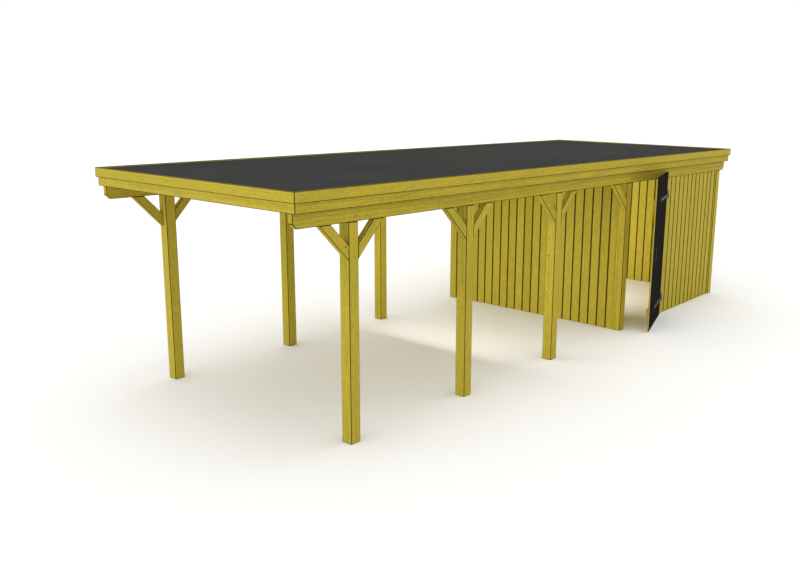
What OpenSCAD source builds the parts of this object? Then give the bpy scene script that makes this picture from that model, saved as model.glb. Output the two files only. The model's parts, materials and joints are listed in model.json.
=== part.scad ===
// Flat-roofed timber carport with a boarded store behind the parking bay.
// Millimetres. +X to the right, +Y from the front to the rear, +Z up.
// The origin is the centre of the front left post's foot, on the ground.

/* [Posts] */
// Side of the square posts
post_w = 120; // [90:1:150]
// Distance across between the centre lines of the two rows of posts
gauge = 2752; // [2300:1:3600]
// Distance along a row between the centre lines of the open bays' posts
bay = 1685; // [1300:1:2200]
// Depth of the store, between the centre lines of its front and rear posts
store_d = 2818; // [2300:1:3500]
// Clear width of the doorway, between its two posts
doorway_w = 974; // [800:1:1200]

/* [Roof] */
// Width of the roof beyond the outer faces of the posts, on each side
roof_side = 74; // [60:1:600]
// Length of the roof in front of the first posts' centre line
roof_front = 744; // [400:1:1000]
// Length of the roof behind the last posts' centre line
roof_rear = 233; // [200:1:600]
// Height of the upper edge boards' top at the front
roof_top = 2401; // [2200:1:3000]
// Fall of the roof towards the rear, in hundredths of its length
fall = 2; // [0:0.1:4]
// Thickness of the roofing membrane
membrane_t = 2; // [1:0.5:5]
// Thickness of the roof boarding
deck_t = 19; // [16:1:28]
// Height of the edge boards above the membrane
kerb_h = 21; // [10:1:60]

/* [Edge boards] */
// Thickness of the edge boards
edge_t = 19; // [16:1:28]
// Height of the upper edge boards
upper_h = 99; // [80:1:140]
// Drop from the top of the upper edge boards to the foot of the lower ones
edge_drop = 188; // [160:1:260]

/* [Beams and rafters] */
// Width of the two beams, and thickness of the braces under them
beam_w = 60; // [40:1:80]
// Height of the beams
beam_h = 160; // [120:1:200]
// Size of the chamfer on the lower corner of each beam end
beam_chamfer = 45; // [10:1:80]
// Width of a rafter
rafter_w = 60; // [40:1:80]
// Height of a rafter
rafter_h = 120; // [80:1:160]
// Number of rafter gaps from the front edge to the store's front wall
bay_gaps = 8; // [5:1:12]
// Number of rafter gaps over the store
store_gaps = 4; // [3:1:6]

/* [Braces] */
// Width of a brace, across its length
brace_w = 95; // [60:1:120]
// How far down its post a brace reaches below the beam
brace_reach = 340; // [250:1:450]

/* [Store walls] */
// Thickness of the wall boards
wall_t = 19; // [16:1:28]
// How far the boards lie behind the outer faces of the posts
wall_inset = 10; // [0:1:20]
// Gap between the boards and the ground
wall_lift = 5; // [0:1:50]
// Height of the rail that holds the side walls' boards under each beam
rail_h = 60; // [40:1:80]

/* [Door] */
// How far the door stands open at rest, in degrees
ajar = 18; // [0:1:90]
// Thickness of the door's boards
leaf_t = 21; // [18:1:30]
// Gap between the closed door and the posts that it laps
leaf_gap = 6; // [5:1:15]
// Lap of the door over each of its two posts
leaf_lap = 10; // [0:1:20]
// Lap of the door over the beam, at the latch side
head_lap = 65; // [0:1:80]
// Gap between the door and the ground
leaf_lift = 15; // [10:1:60]
// Thickness of the ledges and braces behind the door's boards
ledge_t = 28; // [20:1:35]
// Width of the ledges and braces
ledge_w = 95; // [60:1:120]
// Gap between the ends of the ledges and the posts
ledge_gap = 25; // [10:1:60]
// Height of the lowest ledge's middle above the foot of the door
ledge_low = 235; // [150:1:400]
// Depth of the highest ledge's middle below the head of the doorway
ledge_high = 235; // [150:1:400]

/* [Door fittings] */
// Radius of a hinge pin
pin_r = 6; // [5:0.5:8]
// Radial clearance of a pin in its eye, and gap under the eye
pin_gap = 0.3; // [0.2:0.1:0.5]
// Wall of the eye and of the pin's seat
eye_wall = 4.7; // [3:0.1:6]
// Distance of the pin's axis outside the door's face
pin_out = 8; // [7:0.5:12]
// Distance of the pin's axis beyond the door's edge
pin_side = 16; // [14:1:24]
// Width of a hinge strap, and height of its eye
strap_w = 40; // [30:1:50]
// Length of a hinge strap from its pin
strap_l = 620; // [300:1:750]
// Thickness of straps and hinge plates
strap_t = 5; // [4:0.5:6]
// Height of a hinge plate
plate_h = 120; // [80:1:160]
// Thickness of the seat that carries the eye
seat_h = 8; // [6:1:12]
// Height of the pull's middle above the ground
pull_z = 1050; // [900:1:1200]
// Distance of the pull from the door's free edge
pull_in = 60; // [40:1:120]
// Length of the pull between its two feet
pull_l = 150; // [100:1:220]
// Thickness of the pull's bar
pull_r = 6; // [4:0.5:8]
// Height of the pull above the door's face
pull_out = 34; // [25:1:40]

/* [Hidden] */
$fn = 48;
POSTS_LEFT = 5;
POSTS_RIGHT = 6;
BRACED = 4;
SIDES = ["left", "right"];
EDGES = ["front", "right", "rear", "left"];

// Places along the length
half_post = post_w / 2;
store_y = 3 * bay;                                     // store's front posts
jamb_y = store_y + post_w + doorway_w;                 // post that carries the hinges
rear_y = store_y + store_d;                            // rear posts
left_ys = [0, bay, 2 * bay, store_y, rear_y];
right_ys = [0, bay, 2 * bay, store_y, jamb_y, rear_y];
roof_y0 = -roof_front;
roof_y1 = rear_y + roof_rear;

// Places across, measured outwards from the middle of the carport
mid_x = gauge / 2;
post_out = gauge / 2 + half_post;                      // outer faces of posts and beams
post_in = gauge / 2 - half_post;
beam_in = post_out - beam_w;
wall_out = post_out - wall_inset;
wall_in = wall_out - wall_t;
roof_w = 2 * (post_out + roof_side);                   // over the upper edge boards

// Depths below the top of the edge boards
membrane_top = kerb_h;
deck_top = membrane_top + membrane_t;
rafter_top = deck_top + deck_t;
beam_top = rafter_top + rafter_h;
beam_foot = beam_top + beam_h;

// Rafters: under the front edge, on to the store's front wall, over the store, at the rear edge
frame_inset = 2 * edge_t;
front_wall_y = store_y - half_post + wall_inset;       // outer face of the front wall
rear_wall_y = rear_y + half_post - wall_inset;         // outer face of the rear wall
first_rafter = roof_y0 + frame_inset + rafter_w / 2;
front_wall_rafter = front_wall_y + wall_t + rafter_w / 2;
rear_wall_rafter = rear_wall_y - wall_t - rafter_w / 2;
last_rafter = roof_y1 - frame_inset - rafter_w / 2;
rafter_ys = concat(                                    // set out in whole millimetres
    [for (k = [0:bay_gaps - 1])
        round(first_rafter + k * (front_wall_rafter - first_rafter) / bay_gaps)],
    [for (k = [0:store_gaps])
        round(front_wall_rafter + k * (rear_wall_rafter - front_wall_rafter) / store_gaps)],
    [last_rafter]
);

// Door, measured across from the middle and along the length, as it hangs closed
leaf_in = post_out + leaf_gap;
leaf_out = leaf_in + leaf_t;
latch_post_y = store_y + half_post;                    // doorway's two sides
hinge_post_y = jamb_y - half_post;
leaf_y0 = latch_post_y - leaf_lap;
leaf_y1 = hinge_post_y + leaf_lap;
leaf_z0 = leaf_lift;
leaf_z1 = level(latch_post_y) - beam_foot + head_lap;
ledge_zs = [leaf_z0 + ledge_low, level(hinge_post_y) - beam_foot - ledge_high];
ledge_y0 = latch_post_y + ledge_gap;
ledge_y1 = hinge_post_y - ledge_gap;
pin_x = leaf_out + pin_out;
pin_y = leaf_y1 + pin_side;
eye_r = pin_r + pin_gap + eye_wall;
plate_y0 = pin_y + 10;
plate_y1 = jamb_y + half_post - 8;
pin_h = strap_w + seat_h + 6;

// Height of the edge boards' top at a place along the length
function level(y) = roof_top - fall / 100 * (y - roof_y0);

// Side view of a layer that follows the roof's fall, from one place and depth to another
function layer(y0, y1, top, foot) = [
    [y0, level(y0) - foot], [y1, level(y1) - foot], [y1, level(y1) - top], [y0, level(y0) - top]
];

// Draws a side view, as [y, z] points, out from x0 to x1
module across(x0, x1, outline)
    translate([x0, 0, 0]) rotate([90, 0, 90]) linear_extrude(x1 - x0) polygon(outline);

// Puts what is drawn outwards from the middle on the right or the left
module on_side(side)
    translate([mid_x, 0, 0])
        if (side == "right") children();
        else mirror([1, 0, 0]) children();

// Turns what is drawn as the closed door to where it stands at rest
module hung_ajar()
    translate([mid_x + pin_x, pin_y, 0]) rotate([0, 0, ajar]) translate([-mid_x - pin_x, -pin_y, 0])
        on_side("right") children();

// A post, notched at its head so that the beam sits on its outer half
module post(side, y) color("#b7a93c") on_side(side)
    difference() {
        across(post_in, post_out, [
            [y - half_post, 0], [y + half_post, 0],
            [y + half_post, level(y + half_post) - beam_top],
            [y - half_post, level(y - half_post) - beam_top]
        ]);
        across(beam_in, post_out + 1, layer(y - post_w, y + post_w, beam_top - 1, beam_foot));
    }

// A beam along one row of posts, chamfered at the lower corners of its ends
module beam(side) color("#b7a93c") on_side(side) {
    y0 = roof_y0 + frame_inset;
    y1 = roof_y1 - frame_inset;
    across(beam_in, post_out, [
        [y0, level(y0) - beam_foot + beam_chamfer],
        [y0 + beam_chamfer, level(y0 + beam_chamfer) - beam_foot],
        [y1 - beam_chamfer, level(y1 - beam_chamfer) - beam_foot],
        [y1, level(y1) - beam_foot + beam_chamfer],
        [y1, level(y1) - beam_top],
        [y0, level(y0) - beam_top]
    ]);
}

// A brace from the face of a post at y up to the beam, running the way of toward (-1 or 1)
module brace(y, toward) {
    y0 = y + toward * half_post;
    z0 = level(y0) - beam_foot - brace_reach;
    rise = brace_w * sqrt(2);                          // height of its foot, cut plumb
    slope = toward * fall / 100;
    far = round(brace_reach / (1 + slope));            // reach along the beam's foot
    near = round((brace_reach - rise) / (1 + slope));
    across(beam_in, post_out, [
        [y0, z0],
        [y0 + toward * far, level(y0 + toward * far) - beam_foot],
        [y0 + toward * near, level(y0 + toward * near) - beam_foot],
        [y0, z0 + rise]
    ]);
}

// The pair of braces on an open post; the doorway's post has only the front one
module braces(side, i) color("#b7a93c") on_side(side) {
    brace(left_ys[i], -1);
    if (i < BRACED - 1) brace(left_ys[i], 1);
}

// Rafters across both beams, apart from each other
module rafters() color("#ab9d38") on_side("right") {
    reach = roof_w / 2 - frame_inset;
    for (y = rafter_ys)
        across(-reach, reach, layer(y - rafter_w / 2, y + rafter_w / 2, rafter_top, beam_top));
}

// A layer of the roof that fills the space inside the upper edge boards
module roof_layer(top, foot) on_side("right") {
    reach = roof_w / 2 - edge_t;
    across(-reach, reach, layer(roof_y0 + edge_t, roof_y1 - edge_t, top, foot));
}

module roof_deck() color("#b7a93c") roof_layer(deck_top, rafter_top);
module roof_membrane() color("#3f4040") roof_layer(membrane_top, deck_top);

// Plan of the roof's edge, drawn in by an inset
function edge_plan(inset) = let (x = roof_w / 2 - inset, y0 = roof_y0 + inset, y1 = roof_y1 - inset)
    [[-x, y0], [x, y0], [x, y1], [-x, y1]];

// One mitred board of a frame of edge boards, between two depths
module edge_board(i, inset, top, foot) color("#b7a93c") on_side("right") {
    outer = edge_plan(inset);
    inner = edge_plan(inset + edge_t);
    next = (i + 1) % 4;
    intersection() {
        across(-roof_w / 2, roof_w / 2, layer(roof_y0, roof_y1, top, foot));
        linear_extrude(roof_top + 1) polygon([outer[i], outer[next], inner[next], inner[i]]);
    }
}

module edge_board_upper(i) edge_board(i, 0, 0, upper_h);
module edge_board_lower(i) edge_board(i, edge_t, rafter_top, edge_drop);

// A wall between the two rows of posts, from near the ground to the roof boarding
module cross_wall(y0) color("#b7a93c") on_side("right")
    across(-post_in, post_in, [
        [y0, wall_lift], [y0 + wall_t, wall_lift],
        [y0 + wall_t, level(y0 + wall_t) - rafter_top], [y0, level(y0) - rafter_top]
    ]);

module wall_front() cross_wall(front_wall_y);
module wall_rear() cross_wall(rear_wall_y - wall_t);

// A wall along one row, from near the ground to the beam
module side_wall(side, y0) color("#b7a93c") on_side(side) {
    y1 = rear_y - half_post;
    across(wall_in, wall_out, [
        [y0, wall_lift], [y1, wall_lift], [y1, level(y1) - beam_foot], [y0, level(y0) - beam_foot]
    ]);
}

module wall_left() side_wall("left", store_y + half_post);
module wall_right() side_wall("right", jamb_y + half_post);

// A rail under a beam, which holds the heads of a side wall's boards
module top_rail(side, y0) on_side(side)
    across(beam_in, wall_in, layer(y0, rear_y - half_post, beam_foot, beam_foot + rail_h));

module wall_top_rails() color("#ab9d38") {
    top_rail("left", store_y + half_post);
    top_rail("right", jamb_y + half_post);
}

module door_boards() color("#24231f") hung_ajar()
    translate([leaf_in, leaf_y0, leaf_z0]) cube([leaf_t, leaf_y1 - leaf_y0, leaf_z1 - leaf_z0]);

// Two ledges and the brace that runs down to the hinge side, on the inner face of the door
module door_ledges() color("#b7a93c") hung_ajar() {
    run = ledge_y1 - ledge_y0;
    low = ledge_zs[0] + ledge_w / 2;
    high = ledge_zs[1] - ledge_w / 2;
    length = sqrt(run * run + (high - low) * (high - low));
    across_brace = ledge_w * length / (high - low);    // width of the brace along a ledge
    for (z = ledge_zs)
        translate([leaf_in - ledge_t, ledge_y0, z - ledge_w / 2]) cube([ledge_t, run, ledge_w]);
    across(leaf_in - ledge_t, leaf_in, [
        [ledge_y1, low], [ledge_y0 + across_brace, high],
        [ledge_y0, high], [ledge_y1 - across_brace, low]
    ]);
}

// A strap on the door's outer face, with an eye round the pin
module strap(z) translate([0, 0, z - strap_w / 2]) difference() {
    union() {
        translate([pin_x, pin_y, 0]) cylinder(r = eye_r, h = strap_w);
        translate([leaf_out, pin_y - strap_l, 0]) cube([strap_t, strap_l, strap_w]);
    }
    translate([pin_x, pin_y, -1]) cylinder(r = pin_r + pin_gap, h = strap_w + 2);
}

module door_straps() color("#2b2b2b") hung_ajar() for (z = ledge_zs) strap(z);

// A bent bar that opens the door, standing on its outer face
module door_pull() color("#2b2b2b") hung_ajar() {
    translate([leaf_out + pull_out - pull_r, leaf_y0 + pull_in, pull_z - pull_l / 2 - pull_r])
        cylinder(r = pull_r, h = pull_l + 2 * pull_r);
    for (end = [-1, 1])
        translate([leaf_out, leaf_y0 + pull_in, pull_z + end * pull_l / 2])
            rotate([0, 90, 0]) cylinder(r = pull_r, h = pull_out - pull_r);
}

// A plate on the post with a seat and an upright pin, for one strap
module hinge_pin(z) {
    seat_z = z - strap_w / 2 - pin_gap - seat_h;
    translate([post_out, plate_y0, z - plate_h / 2]) cube([strap_t, plate_y1 - plate_y0, plate_h]);
    translate([0, 0, seat_z]) linear_extrude(seat_h) {
        translate([pin_x, pin_y]) circle(r = pin_r + eye_wall);
        polygon([
            [post_out, plate_y0], [pin_x - eye_r / 2, pin_y - eye_r / 2],
            [pin_x + eye_r / 2, pin_y + eye_r / 2], [post_out + strap_t, plate_y0 + 3 * eye_r],
            [post_out, plate_y0 + 3 * eye_r]
        ]);
    }
    translate([pin_x, pin_y, seat_z]) cylinder(r = pin_r, h = pin_h);
}

module hinge_pins() color("#2b2b2b") on_side("right") for (z = ledge_zs) hinge_pin(z);

for (i = [0:POSTS_LEFT - 1])
    post("left", left_ys[i]);
for (i = [0:POSTS_RIGHT - 1])
    post("right", right_ys[i]);
for (s = SIDES)
    beam(s);
for (s = SIDES, i = [0:BRACED - 1])
    braces(s, i);
rafters();
roof_deck();
roof_membrane();
for (i = [0:3])
    edge_board_upper(i);
for (i = [0:3])
    edge_board_lower(i);
wall_front();
wall_rear();
wall_left();
wall_right();
wall_top_rails();
door_boards();
door_ledges();
door_straps();
door_pull();
hinge_pins();
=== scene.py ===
import json
import math
import random

import bpy
import numpy as np
from mathutils import Matrix, Vector


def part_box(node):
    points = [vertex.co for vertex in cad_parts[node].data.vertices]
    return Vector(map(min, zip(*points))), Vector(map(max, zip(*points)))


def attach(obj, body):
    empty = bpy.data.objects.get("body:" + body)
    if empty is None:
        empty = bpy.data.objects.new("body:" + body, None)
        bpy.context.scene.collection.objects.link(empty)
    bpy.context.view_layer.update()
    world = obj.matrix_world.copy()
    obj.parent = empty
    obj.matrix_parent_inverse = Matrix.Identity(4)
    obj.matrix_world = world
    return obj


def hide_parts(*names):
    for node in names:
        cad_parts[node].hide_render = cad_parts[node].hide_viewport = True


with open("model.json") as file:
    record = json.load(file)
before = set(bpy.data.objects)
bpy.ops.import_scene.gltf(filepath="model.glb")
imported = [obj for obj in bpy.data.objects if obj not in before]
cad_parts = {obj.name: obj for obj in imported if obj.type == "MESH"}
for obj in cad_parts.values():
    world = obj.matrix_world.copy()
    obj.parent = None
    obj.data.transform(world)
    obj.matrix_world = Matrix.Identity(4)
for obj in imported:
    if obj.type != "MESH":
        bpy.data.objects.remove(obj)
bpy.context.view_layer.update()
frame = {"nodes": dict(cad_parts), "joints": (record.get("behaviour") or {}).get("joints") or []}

dice = random.Random(11)
weld = 0.00002                                          # corners nearer than this are one corner
print("frame loaded:", len(frame["nodes"]), "timbers, sheets and fittings")


def selectOnly(*objects):
    bpy.ops.object.select_all(action="DESELECT")
    for one in objects:
        one.select_set(True)
    bpy.context.view_layer.objects.active = objects[0]


def editMode():
    bpy.ops.object.mode_set(mode="EDIT")


def objectMode():
    bpy.ops.object.mode_set(mode="OBJECT")


def pickFaces(piece, wanted):  # selects the faces that pass a test, and goes into edit mode
    selectOnly(piece)
    bpy.context.tool_settings.mesh_select_mode = (False, False, True)
    editMode()
    bpy.ops.mesh.select_all(action="DESELECT")
    objectMode()
    for face in piece.data.polygons:
        face.select = bool(wanted(face))
    editMode()


def pickEdges(piece, wanted):  # the same for edges, from the places of their two ends
    selectOnly(piece)
    bpy.context.tool_settings.mesh_select_mode = (False, True, False)
    editMode()
    bpy.ops.mesh.select_all(action="DESELECT")
    objectMode()
    spots = [corner.co for corner in piece.data.vertices]
    for edge in piece.data.edges:
        edge.select = bool(wanted(spots[edge.vertices[0]], spots[edge.vertices[1]]))
    editMode()


def copyOf(piece, name, matrix=None):
    twin = bpy.data.objects.new(name, piece.data.copy())
    bpy.context.scene.collection.objects.link(twin)
    if matrix is not None:
        twin.data.transform(matrix)
    return twin


def joined(pieces, name):
    selectOnly(*pieces)
    if len(pieces) > 1:
        bpy.ops.object.join()
    whole = bpy.context.view_layer.objects.active
    whole.name = name
    whole.data.name = name
    return whole


def looseParts(piece):  # splits a mesh into its separate solids
    selectOnly(piece)
    editMode()
    bpy.ops.mesh.select_all(action="SELECT")
    bpy.ops.mesh.separate(type="LOOSE")
    objectMode()
    return list(bpy.context.selected_objects)


def bevelled(piece, width, segments=2, sharpest=30, slot=-1):
    bevel = piece.modifiers.new("arris", "BEVEL")
    bevel.material = slot                               # the slot that the new faces take
    bevel.width = width
    bevel.segments = segments
    bevel.limit_method = "ANGLE"
    bevel.angle_limit = math.radians(sharpest)
    selectOnly(piece)
    bpy.ops.object.modifier_apply(modifier=bevel.name)


def cutOff(piece, point, normal):  # saws the piece at a plane, and closes what the saw opened
    point, normal = Vector(point), Vector(normal).normalized()
    selectOnly(piece)
    bpy.context.tool_settings.mesh_select_mode = (False, False, True)
    editMode()
    bpy.ops.mesh.select_all(action="SELECT")
    bpy.ops.mesh.bisect(plane_co=point, plane_no=normal, clear_outer=True)
    objectMode()
    pickFaces(piece, lambda face: abs(face.normal.dot(normal)) > 0.999
              and abs((face.center - point).dot(normal)) < weld)
    bpy.ops.mesh.delete(type="FACE")
    bpy.ops.mesh.select_all(action="SELECT")
    bpy.ops.mesh.fill_holes(sides=0)
    bpy.ops.mesh.dissolve_limited(angle_limit=math.radians(0.2), delimit={"MATERIAL"})
    objectMode()


def solidOfNode(nodeName, name):  # a copy of a CAD node with whole faces in place of loose triangles
    piece = copyOf(frame["nodes"][nodeName], name)
    piece.data.materials.clear()
    selectOnly(piece)
    bpy.ops.mesh.customdata_custom_splitnormals_clear()
    editMode()
    bpy.ops.mesh.select_all(action="SELECT")
    bpy.ops.mesh.remove_doubles(threshold=weld)
    bpy.ops.mesh.dissolve_limited(angle_limit=math.radians(0.5))
    objectMode()
    bpy.ops.object.shade_flat()
    return piece


def linear(hexColour):
    shares = [int(hexColour[i:i + 2], 16) / 255 for i in (1, 3, 5)]
    return tuple(s / 12.92 if s <= 0.04045 else ((s + 0.055) / 1.055) ** 2.4 for s in shares) + (1.0,)


def addNode(material, kind, settings=None, links=None):
    node = material.node_tree.nodes.new(kind)
    for name, value in (settings or {}).items():
        if isinstance(name, int) or name in node.inputs:
            node.inputs[name].default_value = value
        else:
            setattr(node, name, value)
    for name, source in (links or {}).items():
        material.node_tree.links.new(source, node.inputs[name])
    return node


def newMaterial(name):
    material = bpy.data.materials.new(name)
    material.use_nodes = True
    material.node_tree.nodes.clear()
    return material


def finishMaterial(material, surface):
    addNode(material, "ShaderNodeOutputMaterial", links={"Surface": surface.outputs["BSDF"]})
    return material


def rampNode(material, stops, source):
    ramp = addNode(material, "ShaderNodeValToRGB", links={"Fac": source})
    while len(ramp.color_ramp.elements) < len(stops):
        ramp.color_ramp.elements.new(0.5)
    for element, (place, colour) in zip(ramp.color_ramp.elements, stops):
        element.position = place
        element.color = linear(colour)
    return ramp


# Planed spruce, pressure-impregnated: a yellow-green salt tint over pale wood, matt, with
# darker late wood in the rings, a few round knots and a little difference from board to board.
# Real rings lie 2 to 4 mm apart, which is too fine for the render, so they are drawn wider.
softwood = {
    "early": "#b29e31", "late": "#9c8826", "knot": "#5a4616", "pale": "#b9a83b", "green": "#918f29",
    "ringGap": 0.011, "ringWander": 0.010, "knotCell": 0.105, "knotRarity": 0.86, "knotPush": 0.022,
    "greenShare": 0.45, "paleShare": 0.5, "roughness": 0.72, "specular": 0.1,
}


def softwoodMaterial(name, look):
    material = newMaterial(name)
    grain = addNode(material, "ShaderNodeAttribute", {"attribute_name": "grain"})
    tone = addNode(material, "ShaderNodeAttribute", {"attribute_name": "tone"})
    slow = addNode(material, "ShaderNodeMapping", {"Scale": (9.0, 9.0, 0.9)},
                   {"Vector": grain.outputs["Vector"]})
    wander = addNode(material, "ShaderNodeTexNoise", {"Scale": 1.0, "Detail": 2.0},
                     {"Vector": slow.outputs["Vector"]})
    parts = addNode(material, "ShaderNodeSeparateXYZ", links={"Vector": grain.outputs["Vector"]})
    flat = addNode(material, "ShaderNodeCombineXYZ",
                   links={"X": parts.outputs["X"], "Y": parts.outputs["Y"]})
    radius = addNode(material, "ShaderNodeVectorMath", {"operation": "LENGTH"},
                     {0: flat.outputs["Vector"]})

    # knots: one small round spot in a few of the cells that the timber is divided into
    cells = addNode(material, "ShaderNodeTexVoronoi", {"Scale": 1 / look["knotCell"]},
                    {"Vector": grain.outputs["Vector"]})
    chosen = addNode(material, "ShaderNodeSeparateColor", links={"Color": cells.outputs["Color"]})
    isKnot = addNode(material, "ShaderNodeMath", {"operation": "GREATER_THAN", 1: look["knotRarity"]},
                     {0: chosen.outputs["Red"]})
    near = addNode(material, "ShaderNodeMapRange", {"From Min": 0.24, "From Max": 0.02},
                   {"Value": cells.outputs["Distance"]})
    bulge = addNode(material, "ShaderNodeMath", {"operation": "MULTIPLY"},
                    {0: near.outputs["Result"], 1: isKnot.outputs["Value"]})
    core = addNode(material, "ShaderNodeMapRange", {"From Min": 0.115, "From Max": 0.07},
                   {"Value": cells.outputs["Distance"]})
    knot = addNode(material, "ShaderNodeMath", {"operation": "MULTIPLY"},
                   {0: core.outputs["Result"], 1: isKnot.outputs["Value"]})

    # growth rings about the pith, pushed aside round each knot
    shift = addNode(material, "ShaderNodeMath", {"operation": "MULTIPLY_ADD",
                                                 1: look["ringWander"] * 2},
                    {0: wander.outputs["Fac"], 2: radius.outputs["Value"]})
    around = addNode(material, "ShaderNodeMath", {"operation": "MULTIPLY_ADD", 1: look["knotPush"]},
                     {0: bulge.outputs["Value"], 2: shift.outputs["Value"]})
    rings = addNode(material, "ShaderNodeMath", {"operation": "DIVIDE", 1: look["ringGap"]},
                    {0: around.outputs["Value"]})
    share = addNode(material, "ShaderNodeMath", {"operation": "FRACT"}, {0: rings.outputs["Value"]})
    ring = rampNode(material, [(0.0, look["late"]), (0.16, look["early"]), (0.62, look["early"]),
                               (1.0, look["late"])], share.outputs["Value"])

    # fibres along the length, and slow patches where more of the salt was taken up
    fine = addNode(material, "ShaderNodeMapping", {"Scale": (260.0, 260.0, 7.0)},
                   {"Vector": grain.outputs["Vector"]})
    fibre = addNode(material, "ShaderNodeTexNoise", {"Scale": 1.0, "Detail": 3.0},
                    {"Vector": fine.outputs["Vector"]})
    blotchSpace = addNode(material, "ShaderNodeMapping", {"Scale": (42.0, 42.0, 20.0)},
                          {"Vector": grain.outputs["Vector"]})
    blotches = addNode(material, "ShaderNodeTexNoise", {"Scale": 1.0, "Detail": 3.0, "Roughness": 0.6},
                       {"Vector": blotchSpace.outputs["Vector"]})
    both = addNode(material, "ShaderNodeMath", {"operation": "ADD"},
                   {0: fibre.outputs["Fac"], 1: blotches.outputs["Fac"]})
    fibreStep = addNode(material, "ShaderNodeMapRange",
                        {"From Min": 0.65, "From Max": 1.35, "To Min": 0.80, "To Max": 1.16},
                        {"Value": both.outputs["Value"]})
    patchSpace = addNode(material, "ShaderNodeMapping", {"Scale": (5.0, 5.0, 1.6)},
                         {"Vector": grain.outputs["Vector"]})
    patches = addNode(material, "ShaderNodeTexNoise", {"Scale": 1.0, "Detail": 4.0},
                      {"Vector": patchSpace.outputs["Vector"]})
    patchStep = addNode(material, "ShaderNodeMapRange", {"From Min": 0.42, "From Max": 0.68},
                        {"Value": patches.outputs["Fac"]})
    tinted = addNode(material, "ShaderNodeMix", {"data_type": "RGBA", 7: linear(look["green"])},
                     {6: ring.outputs["Color"]})
    tintShare = addNode(material, "ShaderNodeMath", {"operation": "MULTIPLY", 1: look["greenShare"]},
                        {0: patchStep.outputs["Result"]})
    material.node_tree.links.new(tintShare.outputs["Value"], tinted.inputs["Factor"])
    toned = addNode(material, "ShaderNodeMix", {"data_type": "RGBA", 7: linear(look["pale"])},
                    {6: tinted.outputs[2]})
    toneShare = addNode(material, "ShaderNodeMath", {"operation": "MULTIPLY", 1: look["paleShare"]},
                        {0: tone.outputs["Fac"]})
    material.node_tree.links.new(toneShare.outputs["Value"], toned.inputs["Factor"])
    fibred = addNode(material, "ShaderNodeVectorMath", {"operation": "SCALE"},
                     {0: toned.outputs[2], "Scale": fibreStep.outputs["Result"]})
    knotted = addNode(material, "ShaderNodeMix", {"data_type": "RGBA", 7: linear(look["knot"])},
                      {6: fibred.outputs["Vector"], 0: knot.outputs["Value"]})
    relief = addNode(material, "ShaderNodeMath", {"operation": "MULTIPLY_ADD", 1: 0.4},
                     {0: fibre.outputs["Fac"], 2: share.outputs["Value"]})
    bump = addNode(material, "ShaderNodeBump", {"Strength": 0.18, "Distance": 0.0008},
                   {"Height": relief.outputs["Value"]})
    surface = addNode(material, "ShaderNodeBsdfPrincipled",
                      {"Roughness": look["roughness"], "IOR": 1.5, "Specular IOR Level": look["specular"]},
                      {"Base Color": knotted.outputs[2], "Normal": bump.outputs["Normal"]})
    return finishMaterial(material, surface)


# Arrises, joint chamfers, board edges and tongues are painted far darker: painted shade in the joints, dark
# lines along the arrises.
jointShadeArrisLines = {**softwood, "early": "#453b10", "late": "#352d0c", "knot": "#241a07", "pale": "#4b4113",
          "green": "#35330d"}

impregnatedSpruce = softwoodMaterial("planedSpruceImpregnated", softwood)
jointShadeArrisSpruce = softwoodMaterial("planedSpruceSoaked", jointShadeArrisLines)

# The door's outer face: the same spruce under an opaque, nearly black stain, matt, with the
# fibres still raised and a little brown showing through where the coat is thin.
blackStain = {"coat": "#0b0a08", "thin": "#1a1710", "roughness": 0.85, "specular": 0.03}


def stainMaterial(name, look):
    material = newMaterial(name)
    grain = addNode(material, "ShaderNodeAttribute", {"attribute_name": "grain"})
    fine = addNode(material, "ShaderNodeMapping", {"Scale": (200.0, 200.0, 5.0)},
                   {"Vector": grain.outputs["Vector"]})
    fibre = addNode(material, "ShaderNodeTexNoise", {"Scale": 1.0, "Detail": 4.0},
                    {"Vector": fine.outputs["Vector"]})
    colour = rampNode(material, [(0.42, look["coat"]), (0.70, look["thin"])], fibre.outputs["Fac"])
    bump = addNode(material, "ShaderNodeBump", {"Strength": 0.3, "Distance": 0.0006},
                   {"Height": fibre.outputs["Fac"]})
    surface = addNode(material, "ShaderNodeBsdfPrincipled",
                      {"Roughness": look["roughness"], "IOR": 1.5, "Specular IOR Level": look["specular"]},
                      {"Base Color": colour.outputs["Color"], "Normal": bump.outputs["Normal"]})
    return finishMaterial(material, surface)


# One loose-laid sheet of roofing rubber, rolled: dark grey, matt, dusted paler in slow clouds,
# with the edges of the boards below just telegraphing through.
rubberSheet = {"sheet": "#323231", "dust": "#3a3a37", "boardStep": 0.1192, "roughness": 0.95,
               "specular": 0.03}


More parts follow.
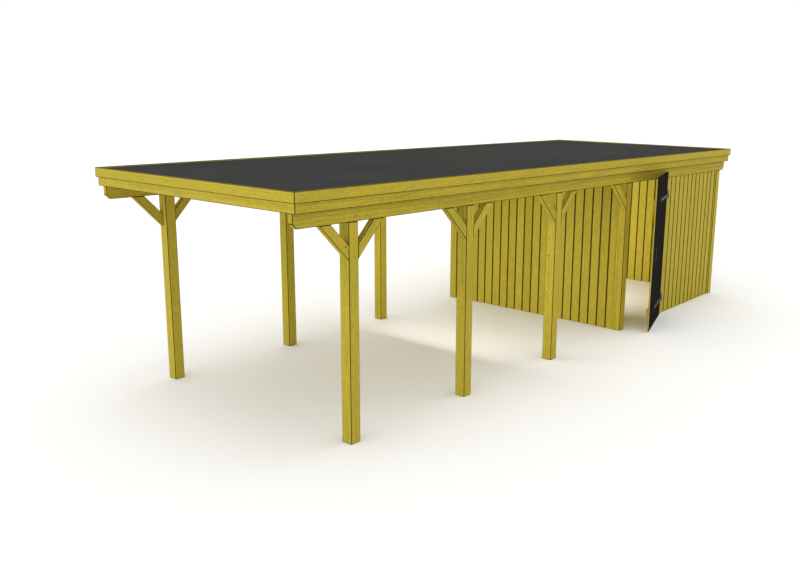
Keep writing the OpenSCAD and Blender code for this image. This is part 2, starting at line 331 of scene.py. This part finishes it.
def sheetMaterial(name, look):
    material = newMaterial(name)
    place = addNode(material, "ShaderNodeTexCoord")
    clouds = addNode(material, "ShaderNodeTexNoise", {"Scale": 0.9, "Detail": 6.0, "Roughness": 0.6},
                     {"Vector": place.outputs["Object"]})
    grit = addNode(material, "ShaderNodeTexNoise", {"Scale": 240.0, "Detail": 2.0},
                   {"Vector": place.outputs["Object"]})
    colour = rampNode(material, [(0.35, look["sheet"]), (0.75, look["dust"])], clouds.outputs["Fac"])
    parts = addNode(material, "ShaderNodeSeparateXYZ", links={"Vector": place.outputs["Object"]})
    runs = addNode(material, "ShaderNodeMath", {"operation": "DIVIDE", 1: look["boardStep"]},
                   {0: parts.outputs["X"]})
    share = addNode(material, "ShaderNodeMath", {"operation": "PINGPONG", 1: 0.5},
                    {0: runs.outputs["Value"]})
    ridge = addNode(material, "ShaderNodeMapRange", {"From Min": 0.0, "From Max": 0.12, "To Max": 0.0,
                                                     "To Min": 1.0}, {"Value": share.outputs["Value"]})
    height = addNode(material, "ShaderNodeMath", {"operation": "MULTIPLY_ADD", 1: 0.6},
                     {0: grit.outputs["Fac"], 2: ridge.outputs["Result"]})
    bump = addNode(material, "ShaderNodeBump", {"Strength": 0.25, "Distance": 0.0007},
                   {"Height": height.outputs["Value"]})
    surface = addNode(material, "ShaderNodeBsdfPrincipled",
                      {"Roughness": look["roughness"], "IOR": 1.5, "Specular IOR Level": look["specular"]},
                      {"Base Color": colour.outputs["Color"], "Normal": bump.outputs["Normal"]})
    return finishMaterial(material, surface)


# Mild steel with a black powder coat, baked on: satin, with the coat's fine orange peel.
powderCoat = {"coat": "#161616", "rub": "#232322", "peel": 0.0025, "roughness": 0.45}

# Steel screws, nuts and washers, zinc-plated and passivated yellow: satin, dull gold.
zincPlate = {"coat": "#9c8b3e", "rub": "#ad9c52", "peel": 0.0020, "roughness": 0.5, "metallic": 0.5}


def metalMaterial(name, look):
    material = newMaterial(name)
    place = addNode(material, "ShaderNodeTexCoord")
    peel = addNode(material, "ShaderNodeTexNoise", {"Scale": 1 / look["peel"], "Detail": 2.0},
                   {"Vector": place.outputs["Object"]})
    wear = addNode(material, "ShaderNodeTexNoise", {"Scale": 35.0, "Detail": 3.0},
                   {"Vector": place.outputs["Object"]})
    colour = rampNode(material, [(0.45, look["coat"]), (0.75, look["rub"])], wear.outputs["Fac"])
    bump = addNode(material, "ShaderNodeBump", {"Strength": 0.15, "Distance": 0.0002},
                   {"Height": peel.outputs["Fac"]})
    surface = addNode(material, "ShaderNodeBsdfPrincipled",
                      {"Roughness": look["roughness"], "Metallic": look.get("metallic", 0.0)},
                      {"Base Color": colour.outputs["Color"], "Normal": bump.outputs["Normal"]})
    return finishMaterial(material, surface)


blackStainedSpruce = stainMaterial("spruceStainedBlack", blackStain)
rolledRubber = sheetMaterial("rubberSheetRolled", rubberSheet)
powderedSteel = metalMaterial("steelPowderCoated", powderCoat)
platedSteel = metalMaterial("steelZincPlated", zincPlate)
print("materials ready")


def spotsOf(piece):
    spots = np.empty(len(piece.data.vertices) * 3)
    piece.data.vertices.foreach_get("co", spots)
    return spots.reshape(-1, 3)


def longestEdge(piece):
    spots = [corner.co for corner in piece.data.vertices]
    runs = [spots[e.vertices[1]] - spots[e.vertices[0]] for e in piece.data.edges]
    return max(runs, key=lambda run: run.length).normalized()


def markGrain(piece, along, pithAcross, pithDeep):  # where each point lies in the log it was sawn from
    side = min((Vector(axis) for axis in ((1, 0, 0), (0, 1, 0), (0, 0, 1))),
               key=lambda axis: abs(axis.dot(along)))
    side = (side - along * side.dot(along)).normalized()
    third = along.cross(side)
    spots = spotsOf(piece)
    local = (spots - spots.mean(0)) @ np.array([side, third, along]).T
    local += (dice.uniform(*pithDeep) * dice.choice((-1, 1)), dice.uniform(-pithAcross, pithAcross),
              dice.uniform(0, 40))
    piece.data.attributes.new("grain", "FLOAT_VECTOR", "POINT").data.foreach_set("vector", local.ravel())
    tone = np.full(len(spots), dice.random())
    piece.data.attributes.new("tone", "FLOAT", "POINT").data.foreach_set("value", tone)


def paint(piece, *materials):
    piece.data.materials.clear()
    for material in materials:
        piece.data.materials.append(material)


def pieceName(nodeName):
    words = nodeName.split("_")
    return words[0] + ("".join(word.capitalize() for word in words[1:]) or "Timbers")


def hang(piece, body, slot, *nodes):  # settles a finished piece in the frame
    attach(piece, body)
    if nodes:
        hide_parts(*nodes)


# Squared timbers keep the shape they have in the frame, and get their planed arrises here.
squared = {
    "post": {"arris": 0.006, "pithAcross": 0.02, "pithDeep": (0.0, 0.03)},
    "beam": {"arris": 0.006, "pithAcross": 0.03, "pithDeep": (0.02, 0.05)},
    "braces": {"arris": 0.005, "pithAcross": 0.03, "pithDeep": (0.03, 0.06)},
    "rafters": {"arris": 0.004, "pithAcross": 0.03, "pithDeep": (0.02, 0.05)},
    "edge": {"arris": 0.006, "pithAcross": 0.04, "pithDeep": (0.03, 0.08)},
    "wall": {"arris": 0.002, "pithAcross": 0.03, "pithDeep": (0.02, 0.05)},
}


def planedTimbers(nodeName):
    look = squared[nodeName.split("_")[0]]
    parts = looseParts(solidOfNode(nodeName, pieceName(nodeName)))
    for part in parts:
        along = longestEdge(part)
        paint(part, impregnatedSpruce, jointShadeArrisSpruce)
        # the arrises take the second material: dark lines painted along the edges
        bevelled(part, look["arris"], slot=1)
        markGrain(part, along, look["pithAcross"], look["pithDeep"])
    hang(joined(parts, pieceName(nodeName)), "frame", "impregnated_softwood", nodeName)


squareNodes = [name for name in sorted(frame["nodes"])
               if name.split("_")[0] in ("post", "beam", "braces", "rafters", "edge")]
for nodeName in squareNodes + ["wall_top_rails"]:
    planedTimbers(nodeName)
print("squared timbers:", len(squareNodes) + 1, "pieces")

# The fall of the roof, from the heads of two posts of a row
frontPost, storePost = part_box("post_left_1"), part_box("post_left_4")
roofFall = (frontPost[1].z - storePost[1].z) / (storePost[1].y - frontPost[1].y)


# A planed board stands on its end: width along X, thickness along Y, length along Z. Its tongue
# fills the gap to the next board, and chamfers on all four long arrises make the V joint.
wallBoard = {"cover": 0.1335, "firstOnRight": 0.0995, "reveal": 0.010, "chamfer": 0.006, "tongue": 0.005,
             "spare": 0.01}
deckBoard = {"cover": 0.1192, "thickness": 0.019, "reveal": 0.002, "chamfer": 0.003, "tongue": 0.006,
             "buttRafters": (4, 9, 6, 11), "buttGap": 0.0005}
doorBoard = {"count": 8, "reveal": 0.005, "chamfer": 0.004, "tongue": 0.007}
boardPith = {"pithAcross": 0.045, "pithDeep": (0.02, 0.09)}
tongueInGroove = 0.0015                                 # how much of a tongue the next board hides


def modelBoard(board, thickness, length):
    width = board["cover"] - board["reveal"]
    bpy.ops.object.select_all(action="DESELECT")
    bpy.ops.mesh.primitive_cube_add(size=1, location=(width / 2, thickness / 2, length / 2))
    piece = bpy.context.active_object
    piece.scale = (width, thickness, length)
    bpy.ops.object.transform_apply(location=True, rotation=True, scale=True)
    paint(piece, impregnatedSpruce, jointShadeArrisSpruce)
    pickEdges(piece, lambda a, b: abs(a.z - b.z) > length / 2)
    # the chamfers of the V joint take the second material: painted shade in the joint
    bpy.ops.mesh.bevel(offset=board["chamfer"], segments=1, affect="EDGES", material=1)
    objectMode()
    for face in piece.data.polygons:                    # both edges lie in the shade of the joint
        if abs(face.normal.x) > 0.99:
            face.material_index = 1
    pickFaces(piece, lambda face: face.normal.x > 0.99)
    cheek = (thickness - 2 * board["chamfer"] - board["tongue"]) / 2
    bpy.ops.mesh.inset(thickness=cheek)
    reach = board["reveal"] + tongueInGroove
    bpy.ops.mesh.extrude_region_move(TRANSFORM_OT_translate={"value": (reach, 0, 0)})
    objectMode()
    return piece


def layBoards(model, places, along):  # a copy of the model at each place, each from its own log
    boards = []
    for place in places:
        board = copyOf(model, "board", place)
        markGrain(board, along, boardPith["pithAcross"], boardPith["pithDeep"])
        boards.append(board)
    return boards


def boardStarts(low, high, cover, first):  # where the boards start, the first one cut to a width
    starts = [low + first - cover]
    while starts[-1] + cover < high:
        starts.append(starts[-1] + cover)
    return starts


def boardWall(nodeName, runsAlong, first):
    low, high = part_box(nodeName)
    cover = wallBoard["cover"]
    if runsAlong == "x":
        thickness = high.y - low.y
        places = [Matrix.Translation((start, low.y, low.z))
                  for start in boardStarts(low.x, high.x, cover, first)]
        ends = ((low.x, 0, 0), (-1, 0, 0)), ((high.x, 0, 0), (1, 0, 0))
    else:
        thickness = high.x - low.x
        turn = Matrix.Rotation(math.radians(90), 4, "Z")
        places = [Matrix.Translation((high.x, start, low.z)) @ turn
                  for start in boardStarts(low.y, high.y, cover, first)]
        ends = ((0, low.y, 0), (0, -1, 0)), ((0, high.y, 0), (0, 1, 0))
    model = modelBoard(wallBoard, thickness, high.z - low.z + wallBoard["spare"])
    wall = joined(layBoards(model, places, Vector((0, 0, 1))), pieceName(nodeName) + "Boards")
    bpy.data.objects.remove(model)
    for point, normal in ends:
        cutOff(wall, point, normal)
    cutOff(wall, (0, low.y, high.z), (0, roofFall, 1))
    hang(wall, "frame", "impregnated_softwood", nodeName)


walls = {
    "wall_front": ("x", wallBoard["cover"]), "wall_rear": ("x", wallBoard["cover"]),
    "wall_right": ("y", wallBoard["firstOnRight"]), "wall_left": ("y", wallBoard["cover"]),
}
for nodeName, (runsAlong, first) in walls.items():
    boardWall(nodeName, runsAlong, first)
print("store walls boarded")


def rafterPlaces():  # the middle of each rafter along the carport, from the frame
    spots = spotsOf(frame["nodes"]["rafters"])
    edges = sorted(set(np.round(spots[:, 1], 3)))
    return [(a + b) / 2 for a, b in zip(edges[::2], edges[1::2])]


def boardDeck():
    low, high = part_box("roof_deck")
    rafters = rafterPlaces()
    butts, gap = deckBoard["buttRafters"], deckBoard["buttGap"]
    tilt = Matrix.Rotation(-math.atan(roofFall) - math.radians(90), 4, "X")
    count = round((high.x - low.x) / deckBoard["cover"])
    cover = (high.x - low.x) / count
    boards = []
    for run in range(count):
        joint = rafters[butts[run % len(butts)]]         # boards butt on a rafter, staggered
        for start, end in ((low.y, joint - gap), (joint + gap, high.y)):
            length = (end - start) * math.sqrt(1 + roofFall ** 2)
            model = modelBoard({**deckBoard, "cover": cover}, deckBoard["thickness"], length)
            top = high.z - (start - low.y) * roofFall
            place = Matrix.Translation((low.x + run * cover, start, top)) @ tilt
            boards += layBoards(model, [place], Vector((0, 1, 0)))
            bpy.data.objects.remove(model)
    deck = joined(boards, "roofDeckBoards")
    cutOff(deck, (high.x, 0, 0), (1, 0, 0))
    hang(deck, "frame", "impregnated_softwood", "roof_deck")


boardDeck()
print("roof boarded")


# One sheet over the whole roof, a little uneven, turned up along its rim.
sheet = {"acrossSteps": 60, "alongSteps": 150, "thick": 0.0016, "wave": 0.0012, "cove": 0.006, "rim": 0.001}


def layRoofSheet():
    low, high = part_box("roof_membrane")
    bpy.ops.object.select_all(action="DESELECT")
    middle = ((low.x + high.x) / 2, (low.y + high.y) / 2, 0)
    bpy.ops.mesh.primitive_grid_add(x_subdivisions=sheet["acrossSteps"],
                                    y_subdivisions=sheet["alongSteps"], size=1, location=middle)
    piece = bpy.context.active_object
    piece.scale = (high.x - low.x, high.y - low.y, 1)
    bpy.ops.object.transform_apply(location=True, rotation=True, scale=True)
    rise = dice.uniform(0, 6)
    for corner in piece.data.vertices:
        x, y = corner.co.x, corner.co.y
        rim = min(x - low.x, high.x - x, y - low.y, high.y - y)
        swell = math.sin(1.7 * x + rise) * math.sin(1.1 * y + 2 * rise)
        swell += 0.5 * math.sin(3.1 * y - 2.3 * x)
        corner.co.z = high.z - (y - low.y) * roofFall + sheet["wave"] * (1.5 + swell)
        if rim < sheet["rim"]:
            corner.co.z += sheet["cove"]                # turned up a little against the edge boards
    thicken = piece.modifiers.new("thickness", "SOLIDIFY")
    thicken.thickness = sheet["thick"]
    thicken.offset = -1
    selectOnly(piece)
    bpy.ops.object.modifier_apply(modifier=thicken.name)
    bpy.ops.object.shade_smooth_by_angle(angle=math.radians(40))
    piece.name = "roofMembraneSheet"
    paint(piece, rolledRubber)
    hang(piece, "frame", "roofing_membrane", "roof_membrane")


layRoofSheet()
print("roofing sheet laid")


# The door is made as it hangs closed, then turned about its pins to where it stands.
swing = next(joint for joint in frame["joints"] if joint["child"] == "door")
pivot = Matrix.Translation(Vector(swing["pos_m"]))
closing = pivot @ Matrix.Rotation(math.radians(swing["range_deg"][0]), 4, "Z") @ pivot.inverted()
opening = closing.inverted()


def closedSolid(nodeName):
    piece = solidOfNode(nodeName, pieceName(nodeName))
    piece.data.transform(closing)
    return piece


def closedBox(nodeName):
    spots = [closing @ corner.co for corner in frame["nodes"][nodeName].data.vertices]
    return (Vector([min(spot[axis] for spot in spots) for axis in range(3)]),
            Vector([max(spot[axis] for spot in spots) for axis in range(3)]))


leafLow, leafHigh = closedBox("door_boards")


def boardDoor():
    cover = (leafHigh.y - leafLow.y + doorBoard["reveal"]) / doorBoard["count"]
    turn = Matrix.Rotation(math.radians(90), 4, "Z")
    model = modelBoard({**doorBoard, "cover": cover}, leafHigh.x - leafLow.x, leafHigh.z - leafLow.z)
    places = [Matrix.Translation((leafHigh.x, leafLow.y + run * cover, leafLow.z)) @ turn
              for run in range(doorBoard["count"])]
    leaf = joined(layBoards(model, places, Vector((0, 0, 1))), "doorBoardsStained")
    bpy.data.objects.remove(model)
    cutOff(leaf, leafHigh, (0, 1, 0))
    leaf.data.materials.append(blackStainedSpruce)
    for face in leaf.data.polygons:                     # the brush went over the outer face only
        if face.normal.x > 0.3 or face.normal.z > 0.9:
            face.material_index = 2
        elif abs(face.center.y - leafLow.y) < 0.001 or abs(face.center.y - leafHigh.y) < 0.001:
            face.material_index = 0
    leaf.data.transform(opening)
    hang(leaf, "door", "dark_stained_softwood", "door_boards")


ledgeArris = 0.002


def cutLedges():
    whole = closedSolid("door_ledges")
    levels = sorted(set(np.round(spotsOf(whole)[:, 2], 5)))  # foot and head of both ledges
    planks = []
    for below, above in ((levels[0], levels[1]), (levels[2], levels[3]), (levels[1], levels[2])):
        plank = copyOf(whole, "plank")
        if below > levels[0]:
            cutOff(plank, (0, 0, below), (0, 0, -1))
        if above < levels[-1]:
            cutOff(plank, (0, 0, above), (0, 0, 1))
        along = longestEdge(plank)
        paint(plank, impregnatedSpruce, jointShadeArrisSpruce)
        # the arrises take the second material: dark lines painted along the edges
        bevelled(plank, ledgeArris, slot=1)
        markGrain(plank, along, **boardPith)
        planks.append(plank)
    bpy.data.objects.remove(whole)
    frameOfDoor = joined(planks, "doorLedgesAndBrace")
    frameOfDoor.data.transform(opening)
    hang(frameOfDoor, "door", "impregnated_softwood", "door_ledges")


boardDoor()
cutLedges()
print("door boarded, ledged and braced")

# Hinge straps and pins keep their forged shape, with the edges ground off a little.
ironwork = {"edge": 0.0008, "smooth": 35}


def groundIron(nodeName, body, slot):
    piece = solidOfNode(nodeName, pieceName(nodeName))
    bevelled(piece, ironwork["edge"], 2, 50)
    selectOnly(piece)
    bpy.ops.object.shade_smooth_by_angle(angle=math.radians(ironwork["smooth"]))
    paint(piece, powderedSteel)
    hang(piece, body, slot, nodeName)


groundIron("door_straps", "door", "black_coated_steel")
groundIron("hinge_pins", "frame", "black_coated_steel")

# The pull is one round bar, bent twice, with a small rose under each foot.
pull = {"sides": 20, "bend": 0.016, "steps": 6, "rose": 0.013, "roseDepth": 0.003, "roseEdge": 0.001}


def bendPull():
    low, high = closedBox("door_pull")
    radius = (high.y - low.y) / 2
    foot = Vector((low.x, (low.y + high.y) / 2, low.z + radius))
    reach = high.x - radius - low.x - pull["bend"]
    bpy.ops.object.select_all(action="DESELECT")
    bpy.ops.mesh.primitive_circle_add(vertices=pull["sides"], radius=radius, location=foot,
                                      rotation=(0, math.radians(90), 0))
    bar = bpy.context.active_object
    bpy.ops.object.transform_apply(location=True, rotation=True, scale=True)
    editMode()
    bpy.ops.mesh.select_all(action="SELECT")
    corner = foot + Vector((reach, 0, pull["bend"]))
    straight = high.z - low.z - 2 * radius - 2 * pull["bend"]
    bpy.ops.mesh.extrude_region_move(TRANSFORM_OT_translate={"value": (reach, 0, 0)})
    bpy.ops.mesh.spin(steps=pull["steps"], angle=math.radians(90), center=corner, axis=(0, 1, 0))
    bpy.ops.mesh.extrude_region_move(TRANSFORM_OT_translate={"value": (0, 0, straight)})
    corner.z += straight
    bpy.ops.mesh.spin(steps=pull["steps"], angle=math.radians(90), center=corner, axis=(0, 1, 0))
    bpy.ops.mesh.extrude_region_move(TRANSFORM_OT_translate={"value": (-reach, 0, 0)})
    objectMode()
    roses = []
    for level in (foot.z, corner.z + pull["bend"]):
        bpy.ops.object.select_all(action="DESELECT")
        bpy.ops.mesh.primitive_cylinder_add(vertices=32, radius=pull["rose"], depth=pull["roseDepth"],
                                            location=(foot.x + pull["roseDepth"] / 2, foot.y, level),
                                            rotation=(0, math.radians(90), 0))
        rose = bpy.context.active_object
        bpy.ops.object.transform_apply(location=True, rotation=True, scale=True)
        bevelled(rose, pull["roseEdge"], 2, 50)
        roses.append(rose)
    bar = joined([bar] + roses, "doorPullBent")
    editMode()
    bpy.ops.mesh.select_all(action="SELECT")
    bpy.ops.mesh.remove_doubles(threshold=weld / 2)
    bpy.ops.mesh.fill_holes(sides=0)
    bpy.ops.mesh.normals_make_consistent(inside=False)
    objectMode()
    selectOnly(bar)
    bpy.ops.object.shade_smooth_by_angle(angle=math.radians(40))
    paint(bar, powderedSteel)
    bar.data.transform(opening)
    hang(bar, "door", "black_coated_steel", "door_pull")


bendPull()
print("ironwork ground and hung")

# Screw heads stand 1 mm proud, with a plain round recess. Bolts have domed heads: the dome's steps
# are how far each ring lies inside the last, and how much higher. Nuts sit on round washers.
screw = {"radius": 0.0045, "proud": 0.001, "sides": 12, "rim": 0.0012, "crown": 0.0003, "recess": 0.0018,
         "recessDepth": 0.0012}
bolt = {"radius": 0.012, "sides": 16, "skirt": 0.002,
        "dome": ((0.0015, 0.0022), (0.003, 0.0013), (0.004, 0.0005))}
nut = {"radius": 0.0095, "proud": 0.008, "washer": 0.0135, "washerSides": 24, "washerDepth": 0.002,
       "rim": 0.001, "crown": 0.0003}


def modelScrew():
    bpy.ops.object.select_all(action="DESELECT")
    bpy.ops.mesh.primitive_cylinder_add(vertices=screw["sides"], radius=screw["radius"],
                                        depth=2 * screw["proud"], location=(0, 0, 0))
    head = bpy.context.active_object
    pickFaces(head, lambda face: face.normal.z > 0.9)
    bpy.ops.mesh.inset(thickness=screw["rim"])
    bpy.ops.transform.translate(value=(0, 0, screw["crown"]))
    bpy.ops.mesh.inset(thickness=screw["radius"] - screw["rim"] - screw["recess"])
    bpy.ops.mesh.extrude_region_move(TRANSFORM_OT_translate={"value": (0, 0, -screw["recessDepth"])})
    objectMode()
    return head


def modelBolt():  # a low dome, pressed in one with its shank
    bpy.ops.object.select_all(action="DESELECT")
    bpy.ops.mesh.primitive_cylinder_add(vertices=bolt["sides"], radius=bolt["radius"],
                                        depth=bolt["skirt"], location=(0, 0, bolt["skirt"] / 2))
    head = bpy.context.active_object
    bpy.ops.object.transform_apply(location=True, rotation=True, scale=True)
    pickFaces(head, lambda face: face.normal.z > 0.9)
    for inset, rise in bolt["dome"]:
        bpy.ops.mesh.inset(thickness=inset)
        bpy.ops.transform.translate(value=(0, 0, rise))
    objectMode()
    selectOnly(head)
    bpy.ops.object.shade_smooth_by_angle(angle=math.radians(50))
    return head


def modelNut():  # a hexagon nut on its washer
    rings = []
    for sides, radius, foot, depth in ((nut["washerSides"], nut["washer"], 0, nut["washerDepth"]),
                                       (6, nut["radius"], nut["washerDepth"], nut["proud"])):
        bpy.ops.object.select_all(action="DESELECT")
        bpy.ops.mesh.primitive_cylinder_add(vertices=sides, radius=radius, depth=depth,
                                            location=(0, 0, foot + depth / 2))
        ring = bpy.context.active_object
        bpy.ops.object.transform_apply(location=True, rotation=True, scale=True)
        pickFaces(ring, lambda face: face.normal.z > 0.9)
        bpy.ops.mesh.inset(thickness=nut["rim"])
        bpy.ops.transform.translate(value=(0, 0, nut["crown"]))
        objectMode()
        rings.append(ring)
    return joined(rings, "nut")


def facing(x=0, y=0, z=0):  # turns a head's own Z to the way it faces
    return Vector((x, y, z)).to_track_quat("Z", "Y").to_matrix().to_4x4()


def driveIn(model, places, name, body, slot, material, turned=None):
    heads = []
    for spot, turn in places:
        spun = Matrix.Rotation(dice.uniform(0, 6), 4, "Z")
        heads.append(copyOf(model, "head", Matrix.Translation(spot) @ turn @ spun))
    whole = joined(heads, name)
    paint(whole, material)
    if turned is not None:
        whole.data.transform(turned)
    hang(whole, body, slot)


screwModel, boltModel, nutModel = modelScrew(), modelBolt(), modelNut()
edgeLow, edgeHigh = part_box("edge_board_upper_front")


def edgeLevel(y):  # top of the upper edge boards at a place along the length
    return edgeHigh.z - (y - edgeLow.y) * roofFall


def evenly(start, end, count):
    return [start + (end - start) * step / (count - 1) for step in range(count)]


# How far below the edge boards' top each row of screws lies, and how many run across
edgeScrews = {"depths": (0.118, 0.150), "across": 6, "fromEnd": 0.12}


def screwEdges():  # the lower boards, into the rafters; the upper ones are fixed from inside
    left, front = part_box("edge_board_lower_left")[0].x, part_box("edge_board_lower_front")[0].y
    right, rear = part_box("edge_board_lower_right")[1].x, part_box("edge_board_lower_rear")[1].y
    places = []
    for depth in edgeScrews["depths"]:
        for x in evenly(left + edgeScrews["fromEnd"], right - edgeScrews["fromEnd"], edgeScrews["across"]):
            places.append(((x, front, edgeLevel(front) - depth), facing(y=-1)))
            places.append(((x, rear, edgeLevel(rear) - depth), facing(y=1)))
        for y in rafterPlaces():
            places.append(((left, y, edgeLevel(y) - depth), facing(x=-1)))
            places.append(((right, y, edgeLevel(y) - depth), facing(x=1)))
    driveIn(screwModel, places, "edgeBoardScrews", "frame", "black_coated_steel", platedSteel)


# Two bolts through the beam at each post: how far from its middle, and below the edge boards' top
beamBolts = ((-0.025, 0.205), (0.025, 0.280))


def boltBeams():
    heads, nuts = [], []
    for side, out in (("left", -1), ("right", 1)):
        beamLow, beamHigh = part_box("beam_" + side)
        outer = beamHigh.x if out > 0 else beamLow.x
        for nodeName in frame["nodes"]:
            if not nodeName.startswith("post_" + side):
                continue
            postLow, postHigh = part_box(nodeName)
            inner = postLow.x if out > 0 else postHigh.x
            y = (postLow.y + postHigh.y) / 2
            for shift, depth in beamBolts:
                level = edgeLevel(y + shift) - depth
                heads.append(((outer, y + shift, level), facing(x=out)))
                nuts.append(((inner, y + shift, level), facing(x=-out)))
    driveIn(boltModel, heads, "beamBoltHeads", "frame", "black_coated_steel", platedSteel)
    driveIn(nutModel, nuts, "beamBoltNuts", "frame", "black_coated_steel", platedSteel)


# Three bolts through each strap, and pairs of screws where a board lies beyond the strap's end
doorFixings = {"strapHalf": 0.02, "strapThick": 0.005, "bolts": (0.03, 0.25, 0.47), "pair": 0.028,
               "clear": 0.01}


def screwDoor():
    boards = (leafHigh.y - leafLow.y) / doorBoard["count"]
    strapLow, strapHigh = closedBox("door_straps")
    ledgeFace = closedBox("door_ledges")[0].x
    middles = (strapLow.z + doorFixings["strapHalf"], strapHigh.z - doorFixings["strapHalf"])
    heads, bolts, nuts = [], [], []
    for level in middles:
        for run in range(doorBoard["count"]):
            y = leafLow.y + (run + 0.5) * boards
            if strapLow.y > y + doorFixings["clear"]:   # the strap holds the others
                for up in (-doorFixings["pair"], doorFixings["pair"]):
                    heads.append(((leafHigh.x, y, level + up), facing(x=1)))
        for back in doorFixings["bolts"]:
            y = strapLow.y + back
            bolts.append(((leafHigh.x + doorFixings["strapThick"], y, level), facing(x=1)))
            nuts.append(((ledgeFace, y, level), facing(x=-1)))
    driveIn(screwModel, heads, "doorScrews", "door", "black_coated_steel", powderedSteel, opening)
    driveIn(boltModel, bolts, "strapBoltHeads", "door", "black_coated_steel", powderedSteel, opening)
    driveIn(nutModel, nuts, "strapBoltNuts", "door", "black_coated_steel", platedSteel, opening)


plateScrews = {"plateHalf": 0.06, "plateThick": 0.005, "backs": (0.018, 0.058), "ups": (-0.045, 0.045)}


def screwPlates():  # four through each hinge plate into its post
    low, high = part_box("hinge_pins")
    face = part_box("post_right_5")[1].x + plateScrews["plateThick"]
    levels = [low.z + plateScrews["plateHalf"], high.z - plateScrews["plateHalf"]]
    places = [((face, high.y - back, level + up), facing(x=1))
              for level in levels for back in plateScrews["backs"] for up in plateScrews["ups"]]
    driveIn(screwModel, places, "hingePlateScrews", "frame", "black_coated_steel", powderedSteel)


screwEdges()
boltBeams()
screwDoor()
screwPlates()
for model in (screwModel, boltModel, nutModel):
    bpy.data.objects.remove(model)
print("screws, bolts and nuts in")


# A plain white studio: floor, even light from all round and a broad soft key from the front.
# Each lamp's shift is from a corner or the middle of the store's front wall, and its turn in degrees.
studio = {"floor": "#fbfbfa", "floorSize": 160, "floorDrop": 0.0005, "sky": "#ffffff", "skyPower": 1.0,
          "key": 0.85, "keySpread": 40, "keyTurn": (79, 0, 1), "top": 0.33}
storeLight = {"power": 60, "size": 0.9, "shift": (1.1, 0.35), "height": 1.2, "turn": (88, 0, 14)}
bayLight = {"power": 20, "size": 2.0, "before": 2.4, "height": 1.3, "turn": (96, 0, 0)}
eye = {"place": (8.2448, -5.5052, 3.3019), "turn": (1.3442, 0.0, 0.7264), "lens": 40.319, "sensor": 36.0}


def floorMaterial():
    material = newMaterial("studioFloorMatt")
    place = addNode(material, "ShaderNodeTexCoord")
    mottle = addNode(material, "ShaderNodeTexNoise", {"Scale": 6.0, "Detail": 4.0},
                     {"Vector": place.outputs["Object"]})
    bump = addNode(material, "ShaderNodeBump", {"Strength": 0.05, "Distance": 0.001},
                   {"Height": mottle.outputs["Fac"]})
    surface = addNode(material, "ShaderNodeBsdfPrincipled",
                      {"Base Color": linear(studio["floor"]), "Roughness": 0.9,
                       "Specular IOR Level": 0.0},
                      {"Normal": bump.outputs["Normal"]})
    return finishMaterial(material, surface)


bpy.ops.object.select_all(action="DESELECT")
bpy.ops.mesh.primitive_plane_add(size=studio["floorSize"], location=(0, 0, -studio["floorDrop"]))
floor = bpy.context.active_object
bpy.ops.object.transform_apply(location=True, rotation=True, scale=True)
floor.name = "studioFloor"
paint(floor, floorMaterial())

world = bpy.data.worlds.new("studioSky")
bpy.context.scene.world = world
world.use_nodes = True
sky = world.node_tree.nodes["Background"]
sky.inputs["Color"].default_value = linear(studio["sky"])
sky.inputs["Strength"].default_value = studio["skyPower"]


def softLight(name, energy, turn):
    bpy.ops.object.light_add(type="SUN", location=(0, -6, 8))
    light = bpy.context.active_object
    light.name = name
    light.data.energy = energy
    light.data.angle = math.radians(studio["keySpread"])
    light.rotation_euler = [math.radians(degrees) for degrees in turn]


softLight("keyLight", studio["key"], studio["keyTurn"])
softLight("topLight", studio["top"], (0, 0, 0))


def areaLamp(name, look, place):
    turn = [math.radians(degrees) for degrees in look["turn"]]
    bpy.ops.object.light_add(type="AREA", location=place, rotation=turn)
    lamp = bpy.context.active_object
    lamp.name = name
    lamp.data.energy = look["power"]
    lamp.data.size = look["size"]
    return lamp


wallLow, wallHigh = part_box("wall_front")
right, back = storeLight["shift"]                       # this one shows the back wall by the door
areaLamp("storeLamp", storeLight, (wallLow.x + right, wallHigh.y + back, storeLight["height"]))
middle = (wallLow.x + wallHigh.x) / 2                   # and this one fills in the front wall
bayLamp = areaLamp("bayLamp", bayLight, (middle, wallLow.y - bayLight["before"], bayLight["height"]))
bayLamp.visible_camera = False

bpy.ops.object.camera_add(location=eye["place"], rotation=eye["turn"])
camera = bpy.context.active_object
camera.name = "viewCamera"
camera.data.lens = eye["lens"]
camera.data.sensor_width = eye["sensor"]
bpy.context.scene.camera = camera
bpy.context.scene.view_settings.view_transform = "Standard"
print("studio, light and camera set")
